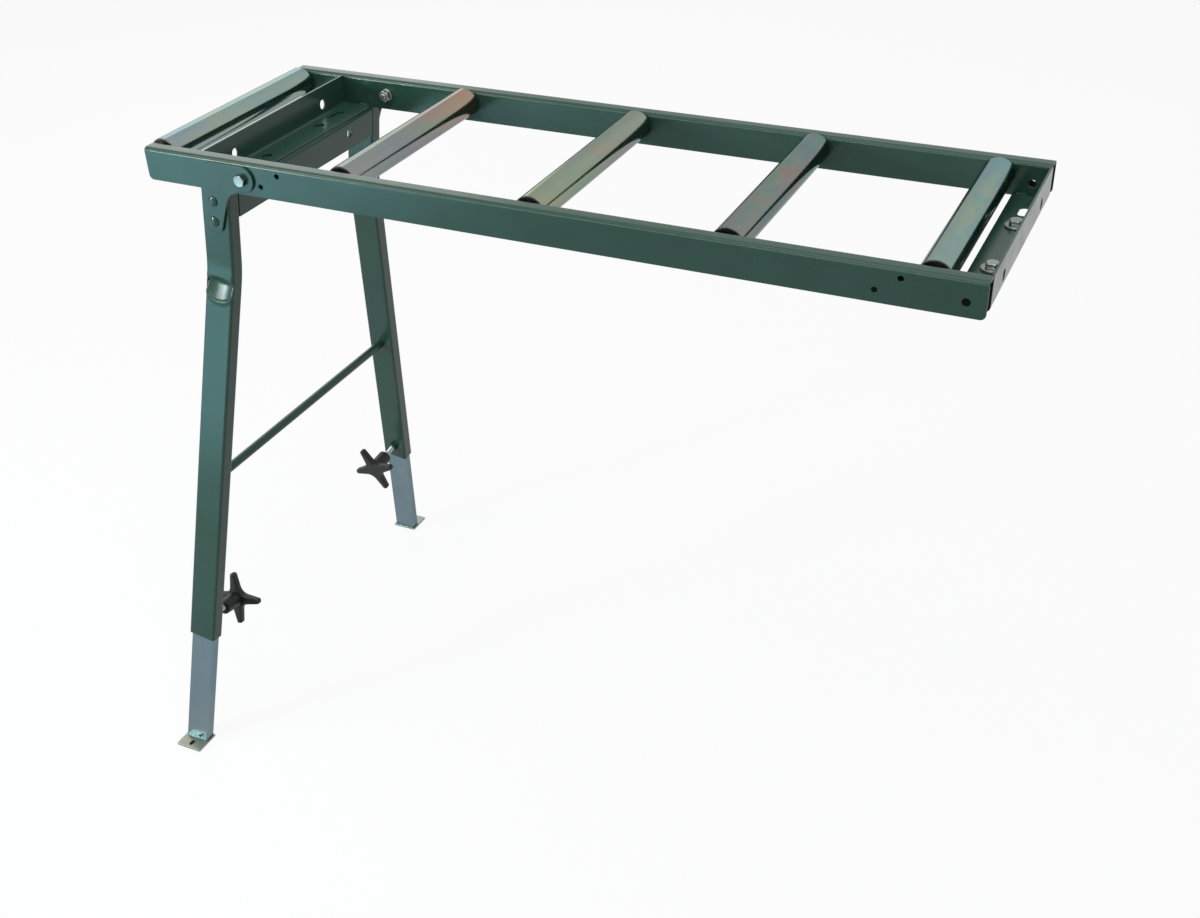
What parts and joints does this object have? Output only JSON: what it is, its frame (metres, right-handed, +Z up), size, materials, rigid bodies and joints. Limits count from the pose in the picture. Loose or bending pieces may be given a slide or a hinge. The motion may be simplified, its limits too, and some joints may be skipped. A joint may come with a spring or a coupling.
{
  "type": "outfeed table",
  "caption": "Roller outfeed table for a saw: green channel rails, bare zinc rollers and one folding leg frame with telescopic feet and star-knob clamps.",
  "frame": {"origin": "middle of the outer face of the machine end, at half the rails' height", "axes": "+X out of the machine end along the rails, +Y across the table, +Z up"},
  "size_m": [1.0334, 0.6246, 0.8535],
  "materials": {
    "green_paint": "satin powder coat",
    "zinc": "bright zinc plate",
    "black_plastic": "fine matte moulding"
  },
  "bodies": {
    "table_frame": {"left_rail": "green_paint", "right_rail": "green_paint", "outer_angle": "green_paint", "machine_angle": "green_paint", "left_pivot_bolt": "zinc", "left_pivot_washer": "zinc", "left_pivot_nut": "zinc", "right_pivot_bolt": "zinc", "right_pivot_washer": "zinc", "right_pivot_nut": "zinc", "machine_bolt_1": "zinc", "machine_washer_1": "zinc", "machine_bolt_2": "zinc", "machine_washer_2": "zinc", "roller_axle_1": "zinc", "roller_axle_2": "zinc", "roller_axle_3": "zinc", "roller_axle_4": "zinc", "roller_axle_5": "zinc"},
    "roller_1": {"roller_tube_1": "zinc", "roller_1_left_cap": "black_plastic", "roller_1_right_cap": "black_plastic"},
    "roller_2": {"roller_tube_2": "zinc", "roller_2_left_cap": "black_plastic", "roller_2_right_cap": "black_plastic"},
    "roller_3": {"roller_tube_3": "zinc", "roller_3_left_cap": "black_plastic", "roller_3_right_cap": "black_plastic"},
    "roller_4": {"roller_tube_4": "zinc", "roller_4_left_cap": "black_plastic", "roller_4_right_cap": "black_plastic"},
    "roller_5": {"roller_tube_5": "zinc", "roller_5_left_cap": "black_plastic", "roller_5_right_cap": "black_plastic"},
    "leg_frame": {"left_leg": "green_paint", "right_leg": "green_paint", "left_pivot_plate": "green_paint", "right_pivot_plate": "green_paint", "left_rivet_1": "green_paint", "left_rivet_2": "green_paint", "right_rivet_1": "green_paint", "right_rivet_2": "green_paint", "leg_cross_angle": "green_paint", "spreader_rod": "green_paint", "left_clamp_nut": "green_paint", "right_clamp_nut": "green_paint"},
    "left_foot": {"left_foot_tube": "zinc", "left_foot_plate": "zinc"},
    "right_foot": {"right_foot_tube": "zinc", "right_foot_plate": "zinc"},
    "left_clamp": {"left_knob": "black_plastic", "left_stud": "zinc"},
    "right_clamp": {"right_knob": "black_plastic", "right_stud": "zinc"}
  },
  "joints": [
    {"name": "leg_fold", "type": "hinge", "parent": "table_frame", "child": "leg_frame", "pos_m": [-0.859, 0, 0], "axis": [0, -1, 0], "range_deg": [0, 97.6]},
    {"name": "left_foot_slide", "type": "slide", "parent": "leg_frame", "child": "left_foot", "axis": [-0.1304, -0.1803, -0.9749], "range_m": [-0.15, 0.15]},
    {"name": "right_foot_slide", "type": "slide", "parent": "leg_frame", "child": "right_foot", "axis": [-0.1304, 0.1803, -0.9749], "range_m": [-0.15, 0.15]},
    {"name": "left_clamp_turn", "type": "hinge", "parent": "leg_frame", "child": "left_clamp", "pos_m": [-0.98719, -0.23886, -0.63391], "axis": [-0.0239, 0.9836, -0.1788], "range_deg": [0, 720]},
    {"name": "right_clamp_turn", "type": "hinge", "parent": "leg_frame", "child": "right_clamp", "pos_m": [-0.98719, 0.23886, -0.63391], "axis": [-0.0239, -0.9836, -0.1788], "range_deg": [0, 720]},
    {"name": "roller_1_spin", "type": "hinge", "parent": "table_frame", "child": "roller_1", "pos_m": [-0.992, 0, 0.0055], "axis": [0, 1, 0], "continuous": true},
    {"name": "roller_2_spin", "type": "hinge", "parent": "table_frame", "child": "roller_2", "pos_m": [-0.7377, 0, 0.0055], "axis": [0, 1, 0], "continuous": true},
    {"name": "roller_3_spin", "type": "hinge", "parent": "table_frame", "child": "roller_3", "pos_m": [-0.4971, 0, 0.0055], "axis": [0, 1, 0], "continuous": true},
    {"name": "roller_4_spin", "type": "hinge", "parent": "table_frame", "child": "roller_4", "pos_m": [-0.2702, 0, 0.0055], "axis": [0, 1, 0], "continuous": true},
    {"name": "roller_5_spin", "type": "hinge", "parent": "table_frame", "child": "roller_5", "pos_m": [-0.057, 0, 0.0055], "axis": [0, 1, 0], "continuous": true}
  ]
}
